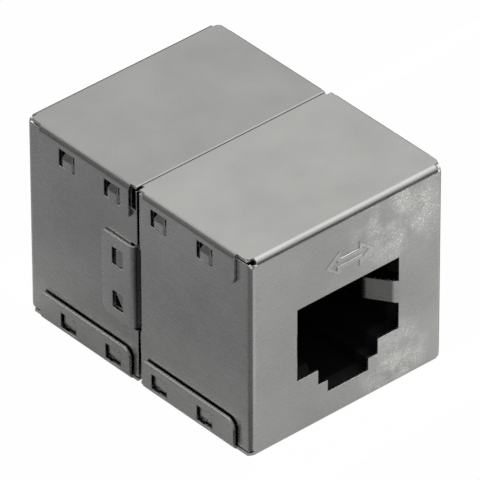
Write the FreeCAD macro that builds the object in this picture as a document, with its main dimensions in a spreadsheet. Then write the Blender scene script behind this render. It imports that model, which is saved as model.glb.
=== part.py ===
import FreeCAD, Part
import math
import os

import Sketcher

# Shielded inline coupler for eight-way modular plugs: two folded sheet-metal half shells that
# latch together at mid-length, and inside them two plastic jack housings back to back on a
# circuit board, each with a contact carrier and eight spring contacts.
# Frame: +Z up, origin at the bottom centre, Y along the plugs, front port facing -Y.

doc = FreeCAD.newDocument("InlineCoupler")
sizes = doc.addObject("Spreadsheet::Sheet", "Sizes")

DRIVING_SIZES = [
    # outside of the coupler
    ("overall_length", 30.0),
    ("overall_height", 21.0),
    ("half_width", 11.5),
    ("rear_step", 0.35),
    ("seam_gap", 0.35),
    # the sheet and its folds
    ("gauge", 0.3),
    ("bend_radius", 0.65),
    ("edge_roll", 0.15),
    ("fold_gap", 0.05),
    ("corner_along", 1.0),
    ("corner_across", 0.85),
    ("corner_down", 1.0),
    ("foot_trim", 0.7),
    # side flaps of the top and bottom panels
    ("flap_panel_setback", 2.05),
    ("flap_seam_setback", 0.9),
    ("top_flap_drop", 3.55),
    ("bottom_flap_rise", 3.15),
    ("bottom_flap_spring", 0.12),
    ("flap_round", 1.0),
    ("flap_small_round", 0.25),
    ("relief_width", 0.6),
    ("relief_depth", 2.6),
    # windows in the flaps and the latch noses that fill them
    ("window_width", 2.1),
    ("panel_window", 5.85),
    ("seam_window", 3.1),
    ("top_window_low", 2.8),
    ("top_window_high", 0.95),
    ("bottom_window_low", 0.66),
    ("bottom_window_high", 2.32),
    ("nose_side_gap", 0.2),
    ("nose_offset", 0.14),
    ("nose_catch_gap", 0.12),
    ("nose_height", 0.42),
    ("nose_ramp", 1.0),
    ("nose_taper", 0.55),
    ("nose_shoulder", 0.6),
    ("nose_round", 0.4),
    ("nose_corner", 0.2),
    # tab that crosses the seam and hooks the other shell
    ("tab_low", 5.7),
    ("tab_high", 14.5),
    ("tab_reach", 4.5),
    ("tab_round", 0.8),
    ("tab_window_near", 1.75),
    ("tab_window_far", 3.2),
    ("lower_tab_window", 6.7),
    ("upper_tab_window", 11.4),
    ("tab_window_height", 1.88),
    ("tab_nose_reach", 0.75),
    ("tab_nose_heel", 0.2),
    ("tab_nose_gap", 0.08),
    ("valley_depth", 0.8),
    ("valley_root", 0.3),
    ("valley_reach", 0.75),
    ("valley_tight_bend", 0.16),
    ("valley_bend", 0.2),
    ("valley_open_bend", 0.4),
    ("notch_gap", 0.25),
    # port
    ("port_half_width", 5.95),
    ("port_top", 13.55),
    ("port_floor", 5.85),
    ("keyway_half_width", 3.5),
    ("keyway_floor", 4.25),
    ("latchway_half_width", 2.38),
    ("latchway_floor", 3.0),
    # ground leaves folded in from the port's sides
    ("leaf_anchor", 1.0),
    ("leaf_notch", 0.3),
    ("leaf_low", 8.6),
    ("leaf_height", 2.3),
    ("leaf_slant_in", 2.1),
    ("leaf_slant_deep", 3.0),
    ("leaf_tip", 1.9),
    ("leaf_bend", 0.6),
    ("leaf_curl", 2.4),
    # jack housings
    ("housing_side_room", 1.1),
    ("housing_clearance", 0.05),
    ("cavity_depth", 11.7),
    ("mouth_depth", 1.1),
    ("mouth_flare", 0.45),
    ("leaf_pocket_out", 1.0),
    ("leaf_pocket_deep", 6.4),
    ("leaf_pocket_margin", 0.35),
    # contacts, their carrier and the board
    ("contact_pitch", 1.02),
    ("contact_width", 0.5),
    ("contact_gauge", 0.25),
    ("contact_level", 14.95),
    ("contact_foot", 17.0),
    ("contact_front", 4.0),
    ("contact_tip_level", 11.4),
    ("contact_tip_setback", 4.9),
    ("contact_bend", 0.45),
    ("contact_foot_bend", 0.19),
    ("slot_clearance", 0.08),
    ("slot_front", 3.1),
    ("slot_top", 15.4),
    ("carrier_half_width", 4.7),
    ("carrier_low", 13.9),
    ("carrier_high", 16.3),
    ("carrier_front", 4.2),
    ("carrier_seat", 0.05),
    ("foot_room", 1.0),
    ("foot_room_high", 17.6),
    ("board_half_gauge", 0.6),
    ("board_side_room", 1.7),
    ("board_edge_room", 0.1),
]
for row, (alias, number) in enumerate(DRIVING_SIZES, start=1):
    sizes.set(f"A{row}", alias.replace("_", " "))
    sizes.set(f"B{row}", str(number))
    sizes.setAlias(f"B{row}", alias)
doc.recompute()


class Size:
    """A length that carries its number together with the sheet expression behind it."""

    def __init__(self, number, text):
        self.number = number
        self.text = text

    @staticmethod
    def of(value):
        return value if isinstance(value, Size) else Size(float(value), repr(float(value)))

    def combine(self, other, sign, number):
        return Size(number, f"({self.text} {sign} {Size.of(other).text})")

    def __add__(self, other):
        return self.combine(other, "+", self.number + Size.of(other).number)

    def __sub__(self, other):
        return self.combine(other, "-", self.number - Size.of(other).number)

    def __mul__(self, other):
        return self.combine(other, "*", self.number * Size.of(other).number)

    def __truediv__(self, other):
        return self.combine(other, "/", self.number / Size.of(other).number)

    def __neg__(self):
        return self * -1

    __radd__ = __add__
    __rmul__ = __mul__

    def __rsub__(self, other):
        return Size.of(other) - self


def size(alias):
    return Size(float(sizes.get(alias)), f"{sizes.Name}.{alias}")


def bind(thing, prop, value):
    thing.setExpression(prop, Size.of(value).text)


# ---- drawing helpers -------------------------------------------------------------------------

AXIS = {"x": FreeCAD.Vector(1, 0, 0), "y": FreeCAD.Vector(0, 1, 0), "z": FreeCAD.Vector(0, 0, 1)}
# A plan is drawn in X and Y, a side view in Y and Z, a cross-section in X and Z.
PLANES = {
    "plan": ("z", FreeCAD.Rotation()),
    "side": ("x", FreeCAD.Rotation(FreeCAD.Vector(1, 1, 1), 120)),
    "section": ("y", FreeCAD.Rotation(AXIS["x"], 90)),
}


def sign(number):
    return (number > 0) - (number < 0)


def corner_points(before, corner, after):
    """One point for a sharp corner; start, centre and end for one rounded between two runs
    that follow the sketch's axes."""
    u, v = Size.of(corner[0]), Size.of(corner[1])
    if len(corner) == 2:
        return [(u, v)]
    radius = Size.of(corner[2])
    ends = []
    for other in (before, after):
        step_u = sign(Size.of(other[0]).number - u.number)
        step_v = sign(Size.of(other[1]).number - v.number)
        ends.append((u + radius * step_u, v + radius * step_v))
    centre = (ends[0][0] + ends[1][0] - u, ends[0][1] + ends[1][1] - v)
    return [ends[0], centre, ends[1]]


def pin(sketch, geometry, vertex, point):
    """Hold one vertex at a point, both coordinates bound to the sheet."""
    for kind, value in (("DistanceX", point[0]), ("DistanceY", point[1])):
        index = sketch.addConstraint(Sketcher.Constraint(kind, -1, 1, geometry, vertex, value.number))
        sketch.setExpression(f"Constraints[{index}]", value.text)


def vector(point):
    return FreeCAD.Vector(point[0].number, point[1].number, 0)


def draw(name, plane, outlines):
    """A sketch of closed outlines; each corner is (u, v) or (u, v, radius)."""
    sketch = doc.addObject("Sketcher::SketchObject", name)
    for outline in outlines:
        count = len(outline)
        corners = [corner_points(outline[i - 1], outline[i], outline[(i + 1) % count])
                   for i in range(count)]
        for i, points in enumerate(corners):
            following = corners[(i + 1) % count][0]
            if len(points) == 3:
                start, centre, end = (vector(point) for point in points)
                middle = centre + (start + end - centre * 2).normalize() * (start - centre).Length
                curve = sketch.addGeometry(Part.Arc(start, middle, end))
                turns_left = ((end - start).cross(centre - start)).z > 0
                pin(sketch, curve, 1 if turns_left else 2, points[0])
                pin(sketch, curve, 2 if turns_left else 1, points[2])
                radius = Size.of(outline[i][2])
                index = sketch.addConstraint(Sketcher.Constraint("Radius", curve, radius.number))
                sketch.setExpression(f"Constraints[{index}]", radius.text)
            run = sketch.addGeometry(Part.LineSegment(vector(points[-1]), vector(following)))
            pin(sketch, run, 1, points[-1])
            pin(sketch, run, 2, following)
    sketch.Placement.Rotation = PLANES[plane][1]
    return sketch


def prism(name, plane, outlines, low, high):
    """Outlines drawn in a plane and extruded between two levels square to it."""
    axis = PLANES[plane][0]
    sketch = draw(f"{name}_outline", plane, outlines)
    bind(sketch, f"Placement.Base.{axis}", low)
    solid = doc.addObject("Part::Extrusion", name)
    solid.Base = sketch
    solid.DirMode = "Custom"
    solid.Dir = AXIS[axis]
    solid.Solid = True
    bind(solid, "LengthFwd", Size.of(high) - low)
    return solid


def block(name, x, y, z):
    """A box between a low and a high limit along each axis; the limits may come in any order."""
    solid = doc.addObject("Part::Box", name)
    for side, axis, limits in zip(("Length", "Width", "Height"), "xyz", (x, y, z)):
        low, high = sorted((Size.of(limit) for limit in limits), key=lambda limit: limit.number)
        bind(solid, side, high - low)
        bind(solid, f"Placement.Base.{axis}", low)
    return solid


def join(name, pieces):
    solid = doc.addObject("Part::MultiFuse", name)
    solid.Shapes = pieces
    return solid


def cut(name, base, tools):
    solid = doc.addObject("Part::Cut", name)
    solid.Base = base
    solid.Tool = tools[0] if len(tools) == 1 else join(f"{name}_tools", tools)
    return solid


def common(name, pieces):
    solid = doc.addObject("Part::MultiCommon", name)
    solid.Shapes = pieces
    return solid


def mirrored_span(side, near, far):
    """Limits on the left (side -1) or right (side 1) of the middle plane."""
    return (near * side, far * side)


def strip_side(points, radii, offset):
    """Edges of one face of a bent strip: its runs and tangent arcs moved sideways by offset."""
    edges = []
    start = None
    count = len(points)
    for i, point in enumerate(points):
        ahead = (points[min(i + 1, count - 1)] - points[min(i, count - 2)]).normalize()
        behind = (points[max(i, 1)] - points[max(i - 1, 0)]).normalize()
        side_ahead = FreeCAD.Vector(-ahead.y, ahead.x, 0) * offset
        side_behind = FreeCAD.Vector(-behind.y, behind.x, 0) * offset
        if start is None:
            start = point + side_ahead
            continue
        if i == count - 1:
            edges.append(Part.LineSegment(start, point + side_behind).toShape())
            continue
        half_turn = behind.getAngle(ahead) / 2
        setback = radii[i - 1] * math.tan(half_turn)
        inward = (ahead - behind).normalize()
        centre = point + inward * (radii[i - 1] / math.cos(half_turn))
        arc_start = point - behind * setback + side_behind
        arc_end = point + ahead * setback + side_ahead
        middle = centre - inward * (arc_start - centre).Length
        edges.append(Part.LineSegment(start, arc_start).toShape())
        edges.append(Part.Arc(arc_start, middle, arc_end).toShape())
        start = arc_end
    return edges


def bent_strip(name, plane, path, radii, low, high, thickness):
    """Flat strip of sheet bent along a path that is drawn in a plane, with tangent arcs at its
    bends, and as wide as the two levels square to that plane."""
    axis, rotation = PLANES[plane]
    half = thickness.number / 2
    points = [FreeCAD.Vector(Size.of(u).number, Size.of(v).number, 0) for u, v in path]
    bends = [Size.of(radius).number for radius in radii]
    left, right = (strip_side(points, bends, offset) for offset in (half, -half))
    ends = [Part.LineSegment(left[i].Vertexes[i].Point, right[i].Vertexes[i].Point).toShape()
            for i in (0, -1)]
    wire = Part.Wire(Part.__sortEdges__(left + right + ends))
    face = Part.Face(wire)
    face.Placement = FreeCAD.Placement(AXIS[axis] * Size.of(low).number, rotation)
    strip = doc.addObject("Part::Feature", name)
    strip.Shape = face.extrude(AXIS[axis] * (Size.of(high) - low).number)
    return strip


# ---- values that several pieces share ---------------------------------------------------------

gauge = size("gauge")
bend = size("bend_radius")
inner_bend = bend - gauge
fold_gap = size("fold_gap")
height = size("overall_height")
panel = size("overall_length") / -2
panel_back = panel + gauge
seam = size("seam_gap") / -2
# how far in from a fold's tangents a square edge clears the inside of the fold
fold_room = inner_bend * 0.4
wall_trim = gauge + fold_gap + fold_room
wall_low = wall_trim
wall_high = height - wall_trim
flap_front = panel + size("flap_panel_setback")
flap_rear = -size("flap_seam_setback")
wide_flap = size("half_width")
narrow_flap = wide_flap - size("rear_step")
wall_inset = gauge + fold_gap
leaf_low = size("leaf_low")
leaf_high = leaf_low + size("leaf_height")
board_face = -size("board_half_gauge")
clearance = size("housing_clearance") + fold_room
notch_reach = size("valley_reach") + size("notch_gap")
through = gauge * 2
BEYOND = 1.0
ROWS = ("top", "bottom")
CONTACTS = 8


def port_outline(grow=0):
    """The stepped plug opening: body, key step and latch way, widened all round by grow."""
    wide = size("port_half_width") + grow
    key = size("keyway_half_width") + grow
    latch = size("latchway_half_width") + grow
    roof = size("port_top") + grow
    floors = [size(alias) - grow for alias in ("port_floor", "keyway_floor", "latchway_floor")]
    right = [(wide, roof), (wide, floors[0]), (key, floors[0]), (key, floors[1]),
             (latch, floors[1]), (latch, floors[2])]
    return right + [(-u, v) for u, v in reversed(right)]


# ---- half shell -------------------------------------------------------------------------------

def window_spans(trim=0, offset=0):
    """Y limits of the two windows of a flap, trimmed at each end and moved along."""
    half = size("window_width") / 2 - trim
    middles = (panel + size("panel_window") + offset, offset - size("seam_window"))
    return [(middle - half, middle + half) for middle in middles]


def window_levels(row):
    """Z limits of the windows in the top or bottom row."""
    if row == "top":
        return height - size("top_window_low"), height - size("top_window_high")
    return size("bottom_window_low"), size("bottom_window_high")


def shell_panel_and_walls(name, left, right):
    """Front panel with both side walls folded back from it."""
    plan = [(-left, seam), (-left, panel, bend), (right, panel, bend), (right, seam),
            (right - gauge, seam), (right - gauge, panel_back, inner_bend),
            (-left + gauge, panel_back, inner_bend), (-left + gauge, seam)]
    return prism(f"{name}_panel_and_walls", "plan", [plan], wall_low, wall_high)


def corner_openings(name, left, right):
    """Three-sided openings at the panel's corners, where the folds meet: what three triangular
    bars, one along each axis, have in common. The bottom panel keeps its own corners."""
    along, across, down = size("corner_along"), size("corner_across"), size("corner_down")
    sides = ((-left, 1), (right, -1))
    levels = ((Size.of(0), 1), (height, -1))
    views = {"plan": [], "side": [], "section": []}
    for wall, inward in sides:
        outer = wall - BEYOND * inward
        reach = wall + across * inward
        views["plan"].append([(outer, panel - BEYOND), (reach, panel - BEYOND), (reach, panel),
                              (wall, panel + along), (outer, panel + along)])
        for level, step in levels:
            beyond = level - BEYOND * step
            deep = level + down * step
            views["section"].append([(outer, beyond), (reach, beyond), (reach, level),
                                     (wall, deep), (outer, deep)])
    for level, step in levels:
        beyond = level - BEYOND * step
        deep = level + down * step
        views["side"].append([(panel - BEYOND, beyond), (panel + along, beyond),
                              (panel + along, level), (panel, deep), (panel - BEYOND, deep)])
    bars = [prism(f"{name}_plan", "plan", views["plan"], wall_low, height + BEYOND),
            prism(f"{name}_side", "side", views["side"], -left - BEYOND, right + BEYOND),
            prism(f"{name}_section", "section", views["section"], panel - BEYOND, panel + along)]
    return common(name, bars)


def shell_wall_openings(name, left, right):
    """Holes behind the latch noses, reliefs at the flaps and the notch at the other tab."""
    side_gap = size("nose_side_gap")
    tools = []
    for side, wall in ((-1, left), (1, right)):
        label = "left" if side < 0 else "right"
        across = mirrored_span(side, wall - through, wall + fold_gap)
        for i, span in enumerate(window_spans()):
            for row in ROWS:
                tools.append(block(f"{name}_{label}_{row}_hole_{i + 1}", across, span,
                                   window_levels(row)))
    tools.append(block(f"{name}_relief", mirrored_span(1, right - through, right + fold_gap),
                       (flap_rear, flap_rear + size("relief_width")),
                       (height - size("relief_depth"), height)))
    return tools


def ramp_noses(name, side, wall, row, offset):
    """Two lanced noses of one flap: a ramp that levels out in cross-section, rounded at both
    ends in plan and narrowing from its shoulders to its root in side view."""
    proud = wall + size("nose_height")
    catch = size("nose_catch_gap")
    low, high = window_levels(row)
    root, free = (high + catch, low + catch) if row == "top" else (low - catch, high - catch)
    turn = -1 if row == "top" else 1
    level_off = root + size("nose_ramp") * turn
    shoulder = free - size("nose_shoulder") * turn
    ramp = [(wall * side, root), (proud * side, level_off), (proud * side, free),
            ((proud - gauge) * side, free), ((proud - gauge) * side, level_off),
            ((wall - gauge) * side, root)]
    spans = window_spans(size("nose_side_gap"), offset)
    slope = prism(f"{name}_ramp", "section", [ramp], panel, 0)
    rounding, corner, taper = size("nose_round"), size("nose_corner"), size("nose_taper")
    plans = [[((wall - gauge) * side, near), (proud * side, near, rounding),
              (proud * side, far, rounding), ((wall - gauge) * side, far)] for near, far in spans]
    views = [[(near + taper, root), (near, shoulder), (near, free, corner), (far, free, corner),
              (far, shoulder), (far - taper, root)] for near, far in spans]
    inner, outer = (0, proud) if side > 0 else (-proud, 0)
    return common(name, [slope, prism(f"{name}_plan", "plan", plans, 0, height),
                         prism(f"{name}_view", "side", views, inner, outer)])


def seam_noses(name, wall):
    """Two noses on the right wall that the other shell's tab hooks over; the lower one is cut
    away to a heel at its foot."""
    proud = wall + size("nose_height")
    near = -size("tab_window_near") - fold_gap
    far = near - size("tab_nose_reach")
    heel = near - size("tab_nose_heel")
    ramp = [(wall, near), (proud, far), (proud - gauge, far), (wall - gauge, near)]
    slope = prism(f"{name}_ramp", "plan", [ramp], 0, height)
    gap = size("tab_nose_gap")
    outlines = []
    for low, foot in ((size("lower_tab_window"), heel), (size("upper_tab_window"), far)):
        floor = low + gap
        roof = low + size("tab_window_height") - gap
        outlines.append([(near, floor), (foot, floor), (far, roof), (near, roof)])
    return common(name, [slope, prism(f"{name}_view", "side", outlines, 0, proud)])


def shell_cover(name, left, right):
    """Top and bottom panels, folded back from the front panel and over the side walls, with
    rolled edges at the seam. The bottom one runs on under the walls to its trimmed corners."""
    roll = size("edge_roll")
    side_view = [(seam, 0, roll), (panel, 0, bend), (panel, height, bend), (seam, height, roll),
                 (seam, height - gauge), (panel_back, height - gauge, inner_bend),
                 (panel_back, gauge, inner_bend), (seam, gauge)]
    top_view = [(panel + bend, height - gauge), (panel + bend, height), (seam, height, roll),
                (seam, height - gauge)]
    trim = size("foot_trim")
    foot_plan = [(-left, seam), (-left, panel + trim), (-left + trim, panel),
                 (right - trim, panel), (right, panel + trim), (right, seam)]
    foot = common(f"{name}_foot", [prism(f"{name}_foot_view", "side", [side_view], -left, right),
                                   prism(f"{name}_foot_plan", "plan", [foot_plan], 0, wall_low)])
    return [prism(f"{name}_folds", "side", [side_view], -left + bend, right - bend),
            prism(f"{name}_top", "side", [top_view], -left, right), foot]


def flap_corner(name, side, face, at, level, radius, along, up):
    """Tool that rounds one free corner of a flap."""
    outline = [(at, level), (at + radius * along, level), (at, level + radius * up)]
    centre = (at + radius * along, level + radius * up)
    square = block(f"{name}_square", mirrored_span(side, face - through, face + BEYOND),
                   (outline[0][0], outline[1][0]), (outline[0][1], outline[2][1]))
    round_bar = doc.addObject("Part::Cylinder", f"{name}_bar")
    round_bar.Placement.Rotation = FreeCAD.Rotation(AXIS["y"], 90)
    bind(round_bar, "Radius", radius)
    bind(round_bar, "Height", (through + BEYOND) * 2)
    middle = face * side - through - BEYOND
    for axis, value in zip("xyz", (middle, centre[0], centre[1])):
        bind(round_bar, f"Placement.Base.{axis}", value)
    return cut(name, square, [round_bar])


def shell_flaps(name, left, right, row):
    """Both side flaps of the top or bottom panel, with their windows."""
    if row == "top":
        edge, turn, free, spring = height, -1, height - size("top_flap_drop"), Size.of(0)
    else:
        edge, turn, free, spring = Size.of(0), 1, size("bottom_flap_rise"), size("bottom_flap_spring")
    inner = edge + gauge * turn
    faces = {-1: left + spring, 1: right + spring}
    section = [(-faces[-1], free), (-faces[-1], edge, bend), (faces[1], edge, bend), (faces[1], free),
               (faces[1] - gauge, free), (faces[1] - gauge, inner, inner_bend),
               (-faces[-1] + gauge, inner, inner_bend), (-faces[-1] + gauge, free)]
    flaps = prism(name, "section", [section], flap_front, flap_rear)
    tools = []
    large, small = size("flap_round"), size("flap_small_round")
    for side, face in faces.items():
        label = "left" if side < 0 else "right"
        panel_end, seam_end = large, small
        if row == "bottom" and side > 0:
            panel_end, seam_end = small, large
        tools.append(flap_corner(f"{name}_{label}_panel_corner", side, face, flap_front, free,
                                 panel_end, 1, -turn))
        tools.append(flap_corner(f"{name}_{label}_seam_corner", side, face, flap_rear, free,
                                 seam_end, -1, -turn))
        for i, span in enumerate(window_spans()):
            tools.append(block(f"{name}_{label}_window_{i + 1}",
                               mirrored_span(side, face - through, face + BEYOND), span,
                               window_levels(row)))
    return cut(f"{name}_cut", flaps, tools)


def seam_tab(name, wall, mate_wall):
    """Tab on the left that dips through the seam and lies over the other shell's wall."""
    rise = mate_wall + fold_gap + gauge / 2
    middle = wall - gauge / 2
    dip = middle - size("valley_depth")
    low, high = size("tab_low"), size("tab_high")
    path = [(-middle, -notch_reach - gauge), (-middle, -size("valley_root")), (-dip, 0),
            (-rise, size("valley_reach")), (-rise, size("tab_reach"))]
    radii = [size("valley_tight_bend"), size("valley_bend"), size("valley_open_bend")]
    strip = bent_strip(f"{name}_strip", "plan", path, radii, low, high, gauge)
    face = mate_wall + fold_gap + gauge
    tools = []
    for label, floor in (("lower", size("lower_tab_window")), ("upper", size("upper_tab_window"))):
        tools.append(block(f"{name}_{label}_window", (-face - BEYOND, -mate_wall + gauge),
                           (size("tab_window_near"), size("tab_window_far")),
                           (floor, floor + size("tab_window_height"))))
    tools.append(flap_corner(f"{name}_low_corner", -1, face, size("tab_reach"), low,
                             size("tab_round"), -1, 1))
    tools.append(flap_corner(f"{name}_high_corner", -1, face, size("tab_reach"), high,
                             size("flap_small_round"), -1, -1))
    return cut(name, strip, tools)


def ground_leaf(name, side):
    """Spring leaf folded in from the side of the port to touch a plug's shield."""
    root = size("port_half_width")
    plane = panel + gauge / 2
    inset = root - size("leaf_slant_in")
    deep = plane + size("leaf_slant_deep")
    anchor = root + size("leaf_anchor")
    path = [(anchor * side, plane), (root * side, plane), (inset * side, deep),
            (inset * side, deep + size("leaf_tip"))]
    radii = [size("leaf_bend"), size("leaf_curl")]
    return bent_strip(name, "plan", path, radii, leaf_low, leaf_high, gauge)


def half_shell(label, left_flap, right_flap, mate_wall, nose_offset, turn):
    """One folded half shell, modelled facing -Y and turned about Z into its place."""
    left, right = left_flap - wall_inset, right_flap - wall_inset
    body = shell_panel_and_walls(f"{label}_body", left, right)
    openings = shell_wall_openings(f"{label}_wall", left, right)
    # the notch frees this shell's edge for its own tab and for the other shell's
    gap = size("notch_gap")
    for side, wall in ((-1, left), (1, right)):
        margin = gap if side > 0 else Size.of(0)
        openings.append(block(f"{label}_notch_{'left' if side < 0 else 'right'}",
                              mirrored_span(side, wall - through, wall + fold_gap),
                              (-notch_reach, seam + BEYOND),
                              (size("tab_low") - margin, size("tab_high") + margin)))
    near = -size("tab_window_near") - fold_gap
    far = -size("tab_window_far") - fold_gap
    for i, floor in enumerate((size("lower_tab_window"), size("upper_tab_window"))):
        openings.append(block(f"{label}_seam_hole_{i + 1}",
                              mirrored_span(1, right - through, right + fold_gap), (far, near),
                              (floor, floor + size("tab_window_height"))))
    walls = cut(f"{label}_open_walls", body, openings)
    sheet = [walls] + shell_cover(f"{label}_cover", left, right)
    for row in ROWS:
        sheet.append(shell_flaps(f"{label}_{row}_flaps", left_flap, right_flap, row))
        for side, wall in ((-1, left), (1, right)):
            sheet.append(ramp_noses(f"{label}_{row}_noses_{'left' if side < 0 else 'right'}", side,
                                    wall, row, nose_offset))
    sheet.append(seam_noses(f"{label}_seam_noses", right))
    blank = join(f"{label}_blank", sheet)
    port = [prism(f"{label}_port", "section", [port_outline()], panel - BEYOND, panel_back + BEYOND),
            corner_openings(f"{label}_corners", left, right)]
    root = size("port_half_width") + size("leaf_notch")
    port.append(block(f"{label}_leaf_notch", (-root, root), (panel - BEYOND, panel_back + BEYOND),
                      (leaf_low, leaf_high)))
    opened = cut(f"{label}_opened", blank, port)
    extras = [seam_tab(f"{label}_tab", left, mate_wall)]
    extras += [ground_leaf(f"{label}_leaf_{i}", side) for i, side in ((1, -1), (2, 1))]
    shell = join(label, [opened] + extras)
    shell.Placement = FreeCAD.Placement(FreeCAD.Vector(), FreeCAD.Rotation(AXIS["z"], turn))
    return shell


# ---- what the shells hold ---------------------------------------------------------------------

def contact_places():
    pitch = size("contact_pitch")
    return [pitch * (i - (CONTACTS - 1) / 2) for i in range(CONTACTS)]


def jack_housing(label, turn):
    """Black moulding with the stepped plug cavity, comb slots and a seat for the carrier."""
    half = size("half_width") - size("housing_side_room")
    front = panel_back + clearance
    back = board_face - clearance
    solid = block(f"{label}_block", (-half, half), (front, back),
                  (gauge + clearance, height - gauge - clearance))
    tools = [prism(f"{label}_cavity", "section", [port_outline()], front - BEYOND,
                   panel + size("cavity_depth"))]
    mouth = doc.addObject("Part::Loft", f"{label}_mouth")
    rims = []
    for part, grow, level in (("rim", size("mouth_flare"), front),
                              ("throat", Size.of(0), front + size("mouth_depth"))):
        rim = draw(f"{label}_{part}", "section", [port_outline(grow)])
        bind(rim, "Placement.Base.y", level)
        rims.append(rim)
    mouth.Sections = rims
    mouth.Solid = True
    mouth.Ruled = True
    tools.append(mouth)
    reach = size("port_half_width") + size("leaf_pocket_out")
    margin = size("leaf_pocket_margin")
    tools.append(block(f"{label}_leaf_pockets", (-reach, reach),
                       (front - BEYOND, panel + size("leaf_pocket_deep")),
                       (leaf_low - margin, leaf_high + margin)))
    slot_half = size("contact_width") / 2 + size("slot_clearance")
    for i, place in enumerate(contact_places()):
        tools.append(block(f"{label}_slot_{i + 1}", (place - slot_half, place + slot_half),
                           (panel + size("slot_front"), -size("carrier_front")),
                           (size("port_top") - BEYOND, size("slot_top"))))
    seat = size("carrier_seat")
    carrier = size("carrier_half_width") + seat
    tools.append(block(f"{label}_carrier_seat", (-carrier, carrier),
                       (-size("carrier_front") - seat, back + BEYOND),
                       (size("carrier_low") - seat, size("carrier_high") + seat)))
    tools.append(block(f"{label}_foot_room", (-carrier, carrier), (-size("foot_room"), back + BEYOND),
                       (size("carrier_low") - seat, size("foot_room_high"))))
    housing = cut(label, solid, tools)
    housing.Placement = FreeCAD.Placement(FreeCAD.Vector(), FreeCAD.Rotation(AXIS["z"], turn))
    return housing


def contact_carrier(label, turn):
    """Insert at the back of a housing that grips the eight contacts."""
    half = size("carrier_half_width")
    solid = block(f"{label}_block", (-half, half), (-size("carrier_front"), -size("foot_room")),
                  (size("carrier_low"), size("carrier_high")))
    half_slot = size("contact_width") / 2
    half_gauge = size("contact_gauge") / 2
    level = size("contact_level")
    tools = [block(f"{label}_groove_{i + 1}", (place - half_slot, place + half_slot),
                   (-size("carrier_front") - BEYOND, BEYOND), (level - half_gauge, level + half_gauge))
             for i, place in enumerate(contact_places())]
    carrier = cut(label, solid, tools)
    carrier.Placement = FreeCAD.Placement(FreeCAD.Vector(), FreeCAD.Rotation(AXIS["z"], turn))
    return carrier


def spring_contact(label, place, turn):
    """Flat gold-plated spring: foot on the board, run through the carrier, hook back down."""
    strip = size("contact_gauge")
    foot = board_face - strip / 2
    level = size("contact_level")
    path = [(foot, size("contact_foot")), (foot, level), (panel + size("contact_front"), level),
            (-size("contact_tip_setback"), size("contact_tip_level"))]
    half = size("contact_width") / 2
    bends = [size("contact_foot_bend"), size("contact_bend")]
    contact = bent_strip(label, "side", path, bends, place - half, place + half, strip)
    contact.Placement = FreeCAD.Placement(FreeCAD.Vector(), FreeCAD.Rotation(AXIS["z"], turn))
    return contact


nodes = []
wide_wall = wide_flap - wall_inset
nose_offset = size("nose_offset")
nodes.append(half_shell("front_shell", wide_flap, wide_flap, wide_wall, -nose_offset, 0))
nodes.append(half_shell("rear_shell", narrow_flap, wide_flap, wide_wall, nose_offset, 180))
for end, turn in (("front", 0), ("rear", 180)):
    nodes.append(jack_housing(f"{end}_jack_housing", turn))
    nodes.append(contact_carrier(f"{end}_contact_carrier", turn))
    for i, place in enumerate(contact_places()):
        nodes.append(spring_contact(f"{end}_contact_{i + 1}", place, turn))
half_board = size("half_width") - size("board_side_room")
edge_room = size("board_edge_room")
nodes.append(block("circuit_board", (-half_board, half_board), (board_face, -board_face),
                   (wall_low + edge_room, wall_high - edge_room)))

doc.recompute()

# ---- checks and export --------------------------------------------------------------------------

for thing in doc.Objects:
    if "Invalid" in thing.State or "Error" in thing.State:
        raise RuntimeError(f"{thing.Name} failed: {thing.State}")
for node in nodes:
    shape = node.Shape
    if shape.isNull() or not shape.isValid():
        raise RuntimeError(f"{node.Label} has no valid shape")
    if len(shape.Solids) != 1:
        raise RuntimeError(f"{node.Label} is {len(shape.Solids)} solids")

os.makedirs("parts", exist_ok=True)
for node in nodes:
    node.Shape.exportStep(f"parts/{node.Label}.step")
    print(node.Label, round(node.Shape.Volume, 3))
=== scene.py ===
import math

import bmesh
import bpy
from mathutils import Matrix, Vector


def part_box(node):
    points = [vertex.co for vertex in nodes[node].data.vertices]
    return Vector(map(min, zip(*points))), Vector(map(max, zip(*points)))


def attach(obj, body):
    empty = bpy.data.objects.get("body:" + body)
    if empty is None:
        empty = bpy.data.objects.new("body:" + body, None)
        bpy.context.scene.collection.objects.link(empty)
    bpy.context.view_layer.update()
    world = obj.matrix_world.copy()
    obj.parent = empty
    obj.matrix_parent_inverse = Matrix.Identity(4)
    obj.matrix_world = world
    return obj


# Lengths are in metres. A pattern's scale is in features per metre.
MM = 0.001

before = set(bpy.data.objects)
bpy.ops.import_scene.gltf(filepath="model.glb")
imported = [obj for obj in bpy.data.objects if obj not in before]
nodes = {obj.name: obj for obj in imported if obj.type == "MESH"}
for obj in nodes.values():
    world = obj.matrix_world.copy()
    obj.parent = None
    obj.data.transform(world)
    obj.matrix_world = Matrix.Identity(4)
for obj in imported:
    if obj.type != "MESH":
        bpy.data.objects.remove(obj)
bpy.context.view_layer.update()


# ---- node helpers -----------------------------------------------------------------------------

def is_socket(value):
    return isinstance(value, bpy.types.NodeSocket)


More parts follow.
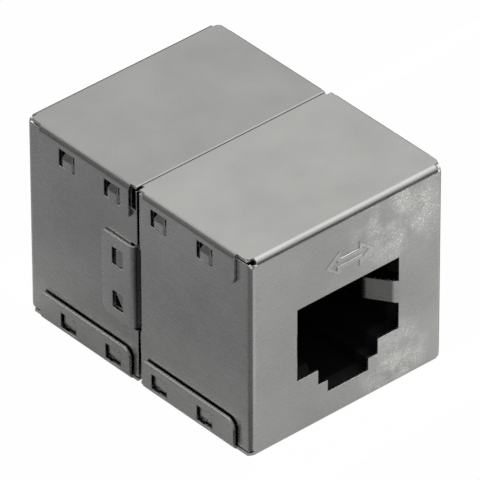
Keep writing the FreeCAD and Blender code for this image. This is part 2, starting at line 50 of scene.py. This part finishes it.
class Nodes:
    """A node tree under construction."""

    def __init__(self, tree):
        self.tree = tree

    def add(self, kind, settings=(), inputs=(), **links):
        """A new node. An underscore in a link's name stands for a blank in the socket's."""
        node = self.tree.nodes.new(kind)
        for key, value in dict(settings).items():
            setattr(node, key, value)
        for key, value in dict(inputs).items():
            node.inputs[key].default_value = value
        for key, source in links.items():
            self.tree.links.new(source, node.inputs[key.replace("_", " ")])
        return node

    def feed(self, socket, value):
        """Links a socket to a node's output, or gives it a number or a colour."""
        if is_socket(value):
            self.tree.links.new(value, socket)
        elif socket.type == "RGBA":
            socket.default_value = (*value, 1.0)
        else:
            socket.default_value = value

    def math(self, operation, *values):
        node = self.add("ShaderNodeMath", {"operation": operation})
        for socket, value in zip(node.inputs, values):
            self.feed(socket, value)
        return node.outputs["Value"]

    def size_of(self, value):
        return self.math("ABSOLUTE", value)

    def remap(self, value, from_low, from_high, to_low=0.0, to_high=1.0):
        node = self.add("ShaderNodeMapRange",
                        inputs={"From Min": from_low, "From Max": from_high,
                                "To Min": to_low, "To Max": to_high}, Value=value)
        return node.outputs["Result"]

    def blend(self, factor, first, second):
        """Mix of two numbers or colours; second where the factor is 1."""
        numbers = is_socket(first) and is_socket(second)
        data_type, socket_type = ("FLOAT", "VALUE") if numbers else ("RGBA", "RGBA")
        node = self.add("ShaderNodeMix", {"data_type": data_type}, Factor=factor)
        pair = [socket for socket in node.inputs if socket.type == socket_type][-2:]
        for socket, value in zip(pair, (first, second)):
            self.feed(socket, value)
        return next(socket for socket in node.outputs if socket.type == socket_type)

    def mix_shaders(self, factor, first, second, output):
        """Second shader where the factor is 1, sent to the tree's output."""
        mix = self.add("ShaderNodeMixShader", Fac=factor)
        self.tree.links.new(first, mix.inputs[1])
        self.tree.links.new(second, mix.inputs[2])
        self.tree.links.new(mix.outputs["Shader"], self.tree.nodes[output].inputs["Surface"])


class Finish(Nodes):
    """A material under construction: its node tree and its Principled shader."""

    def __init__(self, name, **shader):
        self.material = bpy.data.materials.new(name)
        self.material.use_nodes = True
        super().__init__(self.material.node_tree)
        self.shader = self.tree.nodes["Principled BSDF"]
        for socket, value in shader.items():
            self.feed(self.shader.inputs[socket.replace("_", " ")], value)
        self.place = self.add("ShaderNodeTexCoord").outputs["Object"]

    def parts_of(self, vector):
        """X, Y and Z of a vector."""
        return self.add("ShaderNodeSeparateXYZ", Vector=vector).outputs

    def facing(self):
        """X, Y and Z of the direction that the surface faces."""
        return self.parts_of(self.add("ShaderNodeNewGeometry").outputs["Normal"])

    def stretched(self, scale):
        """Object coordinates squeezed or drawn out along each axis."""
        node = self.add("ShaderNodeMapping", inputs={"Scale": scale}, Vector=self.place)
        return node.outputs["Vector"]

    def noise(self, scale, detail=2.0, roughness=0.5, vector=None):
        node = self.add("ShaderNodeTexNoise",
                        inputs={"Scale": scale, "Detail": detail, "Roughness": roughness},
                        Vector=vector or self.place)
        return node.outputs["Fac"]

    def streaks(self, scale, detail, roughness=0.6):
        """Noise with a scale of its own along each axis."""
        return self.noise(1.0, detail, roughness, self.stretched(scale))

    def bump(self, height, distance, strength=1.0, normal=None):
        links = {"Height": height}
        if normal:
            links["Normal"] = normal
        node = self.add("ShaderNodeBump", inputs={"Distance": distance, "Strength": strength}, **links)
        return node.outputs["Normal"]

    def soft_edges(self, radius, samples=8):
        node = self.add("ShaderNodeBevel", {"samples": samples}, {"Radius": radius})
        return node.outputs["Normal"]

    def drive(self, **sockets):
        for socket, source in sockets.items():
            self.tree.links.new(source, self.shader.inputs[socket.replace("_", " ")])
        return self.material


# ---- plated sheet -----------------------------------------------------------------------------

PLATING = (0.405, 0.405, 0.392)
# the colour painted where shade falls: between close edges, deep in a port and in the tabs' folds
SHADE = (0.015, 0.015, 0.015)
# the colour of painted light on cut edges that face up
LEDGE_SKYLIGHT_PAINT = (0.9, 0.9, 0.88)
CLOUD_TONES = (0.95, 1.06)
CLOUD_SCALE = 140.0
GRAIN_ACROSS = 5200.0
GRAIN_ALONG = 260.0
GRAIN_RELIEF = 0.0003 * MM
ROUGHNESS = (0.25, 0.29)
# the middle of a noise's range, where it changes most
NOISE_MIDDLE = (0.3, 0.7)
# how far a surface has to face sideways or endways to count as a wall or a port face
SIDE_FACING = 0.7
END_FACING = 0.95
# above this level an edge belongs to the top panel
LID_LOW = 20.68 * MM


def shaded(colour, factor):
    return tuple(channel * factor for channel in colour)


def plated_sheet(name, tone, edge=0.12 * MM):
    """Satin plated steel sheet with a drawn grain, soft clouding and crystalline patches whose grains
    are painted lighter as glints. Shade is painted into its colour between close edges, deep in a port
    and in the tabs' folds, and light is painted on cut edges that face up. The edge is the radius to
    which its edges look rounded."""
    finish = Finish(name, Metallic=1.0)
    facing = finish.facing()
    on_side = finish.math("GREATER_THAN", finish.size_of(facing["X"]), SIDE_FACING)
    on_end = finish.math("GREATER_THAN", finish.size_of(facing["Y"]), END_FACING)
    drawn_along_x = finish.streaks((GRAIN_ALONG, GRAIN_ACROSS, GRAIN_ACROSS), detail=4.0)
    drawn_along_y = finish.streaks((GRAIN_ACROSS, GRAIN_ALONG, GRAIN_ACROSS), detail=4.0)
    grain = finish.blend(on_side, drawn_along_x, drawn_along_y)
    crystals_and_glints = crystals(finish, on_end)
    deep, pale = [shaded(PLATING, tone * cloud) for cloud in CLOUD_TONES]
    clouds = finish.noise(CLOUD_SCALE, detail=3.0, roughness=0.55)
    colour = finish.blend(finish.remap(clouds, 0.35, 0.65), deep, pale)
    # painted glints: the crystal patches and grains are lightened towards a brighter plating
    colour = finish.blend(crystals_and_glints, colour, shaded(PLATING, CRYSTAL_GLINT_GAIN))
    # painted shade: the colour darkens towards SHADE between close edges
    colour = finish.blend(openness(finish), SHADE, colour)
    # painted shade deep in the port and just behind its mouth
    colour = finish.blend(painted_port_daylight(finish), SHADE, colour)
    # painted shade in the fold where a tab dips through the seam
    colour = finish.blend(tab_fold_painted_shade(finish), colour, SHADE)
    # painted light on cut edges and ledges that face up
    colour = finish.blend(skylit_ledges_painted(finish), colour, LEDGE_SKYLIGHT_PAINT)
    normal = finish.bump(grain, GRAIN_RELIEF, normal=finish.soft_edges(edge))
    normal = finish.bump(crystals_and_glints, CRYSTAL_RELIEF, normal=normal)
    return finish.drive(Base_Color=colour, Normal=normal,
                        Roughness=finish.remap(grain, *NOISE_MIDDLE, *ROUGHNESS))


# for the shade painted between close edges: how far apart close edges are, and how much free sky reads
# as closed and as open
CREVICE_REACH = 0.45 * MM
CREVICE_SKY = (0.04, 0.44)
LEAST_OPENNESS = 0.1
LEDGE_OPENNESS = 0.85


def openness(finish):
    """0 where shade is painted into the colour between close edges, 1 in the open. Ledges that face
    the sky stay light, and so does the thickness of the top panel."""
    free = finish.add("ShaderNodeAmbientOcclusion", {"samples": 8}, {"Distance": CREVICE_REACH})
    depth = finish.remap(free.outputs["AO"], *CREVICE_SKY, LEAST_OPENNESS, 1.0)
    lid = finish.math("GREATER_THAN", finish.parts_of(finish.place)["Z"], LID_LOW)
    ledge = finish.remap(finish.facing()["Z"], 0.6, 0.9, 0.0, LEDGE_OPENNESS)
    return finish.math("MAXIMUM", finish.math("MAXIMUM", depth, lid), ledge)


def skylit_ledges_painted(finish):
    """1 on the cut edges of the sheet that face up, below the top panel. There light is painted: the
    colour goes near white, standing in for the sky lighting their rough sheared surface.
    """
    below_lid = finish.math("LESS_THAN", finish.parts_of(finish.place)["Z"], LID_LOW)
    return finish.math("MULTIPLY", finish.remap(finish.facing()["Z"], 0.7, 0.95), below_lid)


# the port and its depth behind the panel, for the shade painted inside it
PORT_HALF_WIDTH = 6.2 * MM
PORT_MIDDLE = 8.3 * MM
PORT_HALF_HEIGHT = 6.0 * MM
LEAF_ROOT_BAND = (14.5 * MM, 14.72 * MM)
LEAF_ROOT_SHADE = 0.7
DAYLIGHT_DEPTH = (12.2 * MM, 13.9 * MM)


def near_level(finish, level, middle, half_height):
    """1 within a band of heights."""
    offset = finish.size_of(finish.math("SUBTRACT", level, middle))
    return finish.math("LESS_THAN", offset, half_height)


def painted_port_daylight(finish):
    """1 on the outside, falling to 0 with depth on what stands inside a port. The colour is blended
    towards SHADE by it as painted shade, most of the way just behind the panel and fully deeper in.
    """
    place = finish.parts_of(finish.place)
    across = finish.math("LESS_THAN", finish.size_of(place["X"]), PORT_HALF_WIDTH)
    level = near_level(finish, place["Z"], PORT_MIDDLE, PORT_HALF_HEIGHT)
    inside = finish.math("MULTIPLY", across, level)
    nearness = finish.size_of(place["Y"])
    root = finish.remap(nearness, *LEAF_ROOT_BAND, LEAF_ROOT_SHADE, 0.0)
    depth = finish.remap(nearness, *DAYLIGHT_DEPTH, 1.0, 0.0)
    shade = finish.math("MAXIMUM", root, depth)
    return finish.math("SUBTRACT", 1.0, finish.math("MULTIPLY", inside, shade))


# the tabs at the seam, for the shade painted in their fold: how far out they stand, their heights, and
# where their fold runs along Y
TAB_WALL = 9.9 * MM
TAB_MIDDLE = 10.1 * MM
TAB_HALF_HEIGHT = 4.5 * MM
VALLEY_NEAR_SLOPE = (0.35 * MM, -0.42 * MM)
VALLEY_FAR_SLOPE = (-0.62 * MM, -0.40 * MM)


def tab_fold_painted_shade(finish):
    """1 deep in the fold where a shell's tab dips through the seam, 0 away from it. There the colour
    is painted towards SHADE, as shade in the fold.
    """
    place = finish.parts_of(finish.place)
    beside = finish.math("GREATER_THAN", finish.size_of(place["X"]), TAB_WALL)
    within = near_level(finish, place["Z"], TAB_MIDDLE, TAB_HALF_HEIGHT)
    turned = finish.math("MULTIPLY", place["Y"], finish.math("SIGN", place["X"]))
    fold = finish.math("MINIMUM", finish.remap(turned, *VALLEY_NEAR_SLOPE),
                       finish.remap(turned, *VALLEY_FAR_SLOPE))
    return finish.math("MULTIPLY", fold, finish.math("MULTIPLY", beside, within))


# crystalline patches of the front panel: (x, z) of the centre and the reach, in mm; the share of
# the reach that is full; the panel's distance from the middle
PATCHES = (((6.2, 18.3), 6.4), ((5.4, 2.8), 4.4))
PATCH_CORE = 0.45
PANEL = 15.0
CLUSTER_SCALE = 450.0
CRYSTAL_SCALE = 4200.0
CRYSTAL_GLINT_GAIN = 2.25
CRYSTAL_RELIEF = 0.04 * MM


def crystals(finish, on_end):
    """Crystals in the rougher patches near the right-hand corners of each port face. The patches and
    their grains are painted lighter, as glints.
    """
    masks = []
    for (x, z), reach in PATCHES:
        for end in (1, -1):
            apart = finish.add("ShaderNodeVectorMath", {"operation": "DISTANCE"}, Vector=finish.place)
            apart.inputs[1].default_value = (x * end * MM, -PANEL * end * MM, z * MM)
            masks.append(finish.remap(apart.outputs["Value"], reach * PATCH_CORE * MM, reach * MM,
                                      1.0, 0.0))
    patches = masks[0]
    for mask in masks[1:]:
        patches = finish.math("MAXIMUM", patches, mask)
    clusters = finish.noise(CLUSTER_SCALE, detail=3.0, roughness=0.6)
    patches = finish.math("MULTIPLY", patches, finish.remap(clusters, 0.4, 0.58, 0.1, 1.0))
    grains = finish.noise(CRYSTAL_SCALE, detail=2.0, roughness=0.8)
    return finish.math("MULTIPLY", finish.remap(grains, 0.5, 0.6, 0.35, 1.0),
                       finish.math("MULTIPLY", patches, on_end))


# ---- other finishes ---------------------------------------------------------------------------

def moulded_plastic(name, colour, roughness, spread=0.05):
    """Injection-moulded plastic with a fine spark-eroded grain."""
    finish = Finish(name, Specular_IOR_Level=0.12)
    tint = finish.blend(finish.noise(scale=400.0), shaded(colour, 0.8), colour)
    wear = finish.noise(scale=600.0)
    rough = finish.remap(wear, *NOISE_MIDDLE, roughness - spread, roughness + spread)
    grain = finish.noise(scale=9000.0)
    edges = finish.soft_edges(0.05 * MM, samples=4)
    normal = finish.bump(grain, distance=0.002 * MM, strength=0.5, normal=edges)
    return finish.drive(Base_Color=tint, Roughness=rough, Normal=normal)


def gold_plate(name):
    """Thin gold over the stamped spring strip, a little duller in streaks along it."""
    finish = Finish(name, Metallic=1.0)
    streaks = finish.streaks((6000.0, 500.0, 500.0), detail=3.0)
    colour = finish.blend(streaks, (0.83, 0.58, 0.24), (0.90, 0.68, 0.34))
    rough = finish.remap(streaks, *NOISE_MIDDLE, 0.18, 0.30)
    normal = finish.bump(streaks, distance=0.001 * MM, strength=0.6)
    return finish.drive(Base_Color=colour, Roughness=rough, Normal=normal)


def solder_mask(name):
    """Green mask over the weave of the laminate."""
    finish = Finish(name, Coat_Weight=0.3, Coat_Roughness=0.15)
    texture = finish.add("ShaderNodeTexWave", {"wave_type": "BANDS", "bands_direction": "DIAGONAL"},
                         {"Scale": 900.0, "Distortion": 1.5, "Detail": 1.0}, Vector=finish.place)
    weave = texture.outputs["Fac"]
    colour = finish.blend(weave, (0.018, 0.085, 0.040), (0.030, 0.120, 0.058))
    rough = finish.remap(finish.noise(scale=500.0), *NOISE_MIDDLE, 0.35, 0.5)
    normal = finish.bump(weave, distance=0.003 * MM, strength=0.5)
    return finish.drive(Base_Color=colour, Roughness=rough, Normal=normal)


FINISHES = {
    "front_shell": plated_sheet("front_shell_plating", 1.0),
    "rear_shell": plated_sheet("rear_shell_plating", 0.86),
    "jack_housing": moulded_plastic("black_housing_plastic", (0.006, 0.006, 0.007), 0.38),
    "contact_carrier": moulded_plastic("black_carrier_plastic", (0.018, 0.018, 0.020), 0.45),
    "contact": gold_plate("gold_plated_contacts"),
    "circuit_board": solder_mask("green_solder_mask"),
    # the mark's plating is written lighter than the panel's: a painted highlight on the raised line
    "mark": plated_sheet("mark_plating_painted_light", 1.2, 0.05 * MM),
}


def dress(piece, finish_name):
    piece.data.materials.clear()
    piece.data.materials.append(FINISHES[finish_name])


for node_name, node in nodes.items():
    # the most specific finish whose name the node's name holds
    dress(node, max((key for key in FINISHES if key in node_name), key=len))


# ---- added pieces -----------------------------------------------------------------------------

def stand(name, mesh):
    """Object made of a finished bmesh, in the scene."""
    data = bpy.data.meshes.new(name)
    mesh.to_mesh(data)
    mesh.free()
    thing = bpy.data.objects.new(name, data)
    bpy.context.scene.collection.objects.link(thing)
    return thing


def add_metal_piece(name, mesh, finish_name):
    piece = stand(name, mesh)
    dress(piece, finish_name)
    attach(piece, "root")


def two_headed_arrow(length, height, head, shaft):
    """Corners of a plain arrow that points both ways, around its own centre."""
    tip = length / 2
    neck = tip - head
    right = [(tip, 0), (neck, height / 2), (neck, shaft / 2)]
    upper = right + [(-u, v) for u, v in reversed(right[1:])]
    return upper + [(-tip, 0)] + [(u, -v) for u, v in reversed(upper[1:])]


# angle in radians from which an edge of the embossed line is one of its rims
SHARP = 1.0


def embossed_outline(outline, centre, face, line_width, proud, sunk=0.02, round_share=0.22):
    """Bmesh of a raised line that follows a flat outline on the front panel, in mm. It starts a
    little way inside the panel, and its rims are rounded over a share of its width."""
    mesh = bmesh.new()
    plate = mesh.faces.new([mesh.verts.new(((centre[0] + u) * MM, (face + sunk) * MM,
                                            (centre[1] + v) * MM)) for u, v in outline])
    mesh.normal_update()
    bmesh.ops.inset_region(mesh, faces=[plate], use_boundary=True, use_even_offset=True,
                           thickness=line_width * MM, depth=0.0)
    bmesh.ops.delete(mesh, geom=[plate], context="FACES_ONLY")
    raised = bmesh.ops.extrude_face_region(mesh, geom=mesh.faces[:])
    moved = [part for part in raised["geom"] if isinstance(part, bmesh.types.BMVert)]
    bmesh.ops.translate(mesh, verts=moved, vec=Vector((0, -(proud + sunk) * MM, 0)))
    bmesh.ops.recalc_face_normals(mesh, faces=mesh.faces[:])
    rims = [edge for edge in mesh.edges if all(vert in moved for vert in edge.verts)
            and edge.calc_face_angle(0.0) > SHARP]
    bmesh.ops.bevel(mesh, geom=rims, offset=line_width * round_share * MM, segments=3,
                    profile=0.5, affect="EDGES", material=-1)
    return mesh


def closed_bar(section, axis, start, end):
    """Bmesh of a closed bar along X or Y, in mm. Its section is a list of (across, level)."""
    mesh = bmesh.new()
    ends = []
    for along in (start, end):
        places = [(along, across, level) if axis == "x" else (across, along, level)
                  for across, level in section]
        ends.append([mesh.verts.new([value * MM for value in place]) for place in places])
    mesh.faces.new(ends[0])
    mesh.faces.new(ends[1][::-1])
    for i in range(len(section)):
        mesh.faces.new((ends[0][i], ends[0][i - 1], ends[1][i - 1], ends[1][i]))
    bmesh.ops.recalc_face_normals(mesh, faces=mesh.faces[:])
    return mesh


# a plain sign over the front port: a plug can go in from either end
arrow = two_headed_arrow(length=5.6, height=2.7, head=1.7, shaft=1.15)
panel_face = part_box("front_shell")[0].y / MM
add_metal_piece("pass_through_mark",
                embossed_outline(arrow, centre=(0.1, 16.2), face=panel_face, line_width=0.38,
                                 proud=0.12), "mark")

# rolled lip of the front shell's top panel, in the seam
LIP_SECTION = [(-0.36, 20.998), (0.02, 20.998), (0.06, 20.98), (0.08, 20.94), (0.08, 20.72),
               (-0.36, 20.72)]
LIP_REACH = 10.6
add_metal_piece("front_seam_lip", closed_bar(LIP_SECTION, "x", -LIP_REACH, LIP_REACH),
                "front_shell")

# rounded folds of the top panels' side flaps: each one's shell, side, wall and reach along Y
FOLDS = (
    ("front_left", "front_shell", -1, 11.15, -12.95, -0.9),
    ("front_right", "front_shell", 1, 11.15, -12.95, -0.9),
    ("rear_left", "rear_shell", -1, 11.15, 0.9, 12.95),
    ("rear_right", "rear_shell", 1, 10.8, 0.9, 12.95),
)
# a fold's section: how far out from the wall, and at what level
FOLD_LINE = [(-0.05, 20.995), (0.0, 20.998), (0.07, 20.955), (0.14, 20.885), (0.21, 20.79),
             (0.27, 20.68), (0.2, 20.6), (-0.05, 20.85)]
for label, shell, side, wall, start, end in FOLDS:
    section = [(side * (wall + out), level) for out, level in FOLD_LINE]
    add_metal_piece(f"{label}_fold", closed_bar(section, "y", start, end), shell)


# ---- floor, light and camera ------------------------------------------------------------------

WHITE = (1, 1, 1)


def matt(name, grey):
    return Finish(name, Base_Color=grey, Specular_IOR_Level=0.0)


def pale_floor(level, half_side, seen, mirrored):
    """Floor that keeps the object's shadow. Shares of plain white are laid over it, one for what
    the camera sees and one for what gloss mirrors."""
    mesh = bmesh.new()
    bmesh.ops.create_grid(mesh, x_segments=1, y_segments=1, size=half_side)
    bmesh.ops.translate(mesh, verts=mesh.verts, vec=(0, 0, level))
    floor = stand("floor", mesh)
    paper = matt("pale_floor_paper", (0.86, 0.86, 0.86))
    paper.shader.inputs["Roughness"].default_value = 0.9
    white = paper.add("ShaderNodeEmission")
    rays = paper.add("ShaderNodeLightPath").outputs
    gloss = paper.math("MULTIPLY", rays["Is Glossy Ray"], mirrored)
    share = paper.math("MULTIPLY_ADD", rays["Is Camera Ray"], seen, gloss)
    paper.mix_shaders(share, paper.shader.outputs["BSDF"], white.outputs["Emission"],
                      "Material Output")
    floor.data.materials.append(paper.material)


def white_surround(strength):
    """White to the camera and to gloss; a soft fill at the given strength for everything else."""
    world = bpy.data.worlds.new("surround")
    bpy.context.scene.world = world
    world.use_nodes = True
    sky = Nodes(world.node_tree)
    fill = sky.tree.nodes["Background"]
    sky.feed(fill.inputs["Color"], WHITE)
    sky.feed(fill.inputs["Strength"], strength)
    seen = sky.add("ShaderNodeBackground")
    sky.feed(seen.inputs["Color"], WHITE)
    rays = sky.add("ShaderNodeLightPath").outputs
    either = rays["Is Camera Ray"]
    for kind in ("Is Glossy Ray", "Is Transmission Ray"):
        either = sky.math("MAXIMUM", either, rays[kind])
    sky.mix_shaders(either, fill.outputs["Background"], seen.outputs["Background"],
                    "World Output")


def soft_light(name, place, aim, side, power):
    lamp = bpy.data.lights.new(name, "AREA")
    lamp.shape = "SQUARE"
    lamp.size = side
    lamp.energy = power
    thing = bpy.data.objects.new(name, lamp)
    thing.location = place
    thing.rotation_euler = (Vector(aim) - Vector(place)).to_track_quat("-Z", "Y").to_euler()
    bpy.context.scene.collection.objects.link(thing)


def grey_card(name, grey, corners, crest=None):
    """Flat card that the camera doesn't see and the metal mirrors. Its grey can run evenly up to
    another one at its crest."""
    mesh = bmesh.new()
    mesh.faces.new([mesh.verts.new(corner) for corner in corners])
    card = stand(name, mesh)
    card.visible_camera = False
    felt = matt(f"{name}_felt", grey)
    felt.shader.inputs["Roughness"].default_value = 1.0
    if crest:
        height = max(corner[2] for corner in corners)
        rise = felt.remap(felt.parts_of(felt.place)["Z"], 0.0, height)
        felt.drive(Base_Color=felt.blend(rise, grey, crest))
    card.data.materials.append(felt.material)


def flat(left, right, near, far):
    """Corners of a card that lies on the table."""
    return [(left, near, 0), (right, near, 0), (right, far, 0), (left, far, 0)]


def upright(start, end, height):
    """Corners of a card that stands on a line on the table."""
    return [(*start, 0), (*end, 0), (*end, height), (*start, height)]


def stand_camera(azimuth, elevation, roll, distance, lens, aim, slide):
    """Camera that looks along an azimuth and down an elevation, slid sideways and up in its own
    plane so that the object sits in the frame as it should."""
    back = Vector((math.sin(azimuth) * math.cos(elevation),
                   -math.cos(azimuth) * math.cos(elevation), math.sin(elevation)))
    level_right = (-back).cross(Vector((0, 0, 1))).normalized()
    level_up = level_right.cross(-back)
    right = level_right * math.cos(roll) + level_up * math.sin(roll)
    up = level_up * math.cos(roll) - level_right * math.sin(roll)
    camera_data = bpy.data.cameras.new("camera")
    camera_data.sensor_width = 36.0
    camera_data.lens = lens
    camera_data.clip_start = 0.01
    camera_data.clip_end = 10.0
    camera = bpy.data.objects.new("camera", camera_data)
    bpy.context.scene.collection.objects.link(camera)
    place = Vector(aim) + back * distance + right * slide[0] + up * slide[1]
    turn = Matrix((right, up, back)).transposed().to_4x4()
    camera.matrix_world = Matrix.Translation(place) @ turn
    bpy.context.scene.camera = camera


# cards for the metal to mirror: name, grey, corners and the grey at the crest
CARDS = (
    ("left_card", (0.12, 0.12, 0.125), upright((-0.14, -0.12), (-0.14, 0.5), 0.21), (0.9, 0.9, 0.9)),
    ("left_table", (0.47, 0.47, 0.485), flat(-0.14, -0.0185, -0.0145, 0.2), None),
    ("left_low_table", (0.65, 0.65, 0.66), flat(-0.0184, -0.0145, -0.0145, 0.2), None),
    ("left_foot_table", (0.84, 0.84, 0.85), flat(-0.0144, -0.0116, -0.0145, 0.2), None),
    ("front_left_table", (0.27, 0.27, 0.275),
     [(-0.0112, -0.0148, 0.0002), (-0.125, 0.077, 0.0002), (-0.2, -0.05, 0.0002),
      (-0.105, -0.132, 0.0002)], None),
    ("front_near_table", (0.81, 0.81, 0.81), flat(-0.01, 0.30, -0.065, -0.0215), None),
    ("right_table", (0.18, 0.18, 0.18), flat(0.0123, 0.14, -0.0145, 0.02), None),
    ("back_table", (0.04, 0.04, 0.04), flat(-0.01, 0.3, 0.022, 0.4), None),
    ("low_back_card", (0.03, 0.03, 0.03), upright((-0.05, 0.40), (0.40, 0.20), 0.08), None),
    ("front_table", (0.20, 0.20, 0.20), flat(-0.01, 0.30, -0.34, -0.065), None),
    ("low_front_card", (0.09, 0.09, 0.09), upright((0.0, -0.34), (0.32, -0.20), 0.17),
     (0.5, 0.5, 0.5)),
)

pale_floor(level=-0.02 * MM, half_side=3.0, seen=0.99, mirrored=0.34)
white_surround(strength=1.0)
soft_light("upper_softbox", place=(0.57, 0.0, 0.88), aim=(0, 0, 0.01), side=0.8, power=1.5)
for card in CARDS:
    grey_card(*card)
stand_camera(azimuth=math.radians(-41.211), elevation=math.radians(35.735),
             roll=math.radians(-0.202), distance=0.8, lens=681.457, aim=(0, 0, 0.011),
             slide=(0.4699 * MM, -0.6932 * MM))

bpy.context.scene.view_settings.view_transform = "Standard"
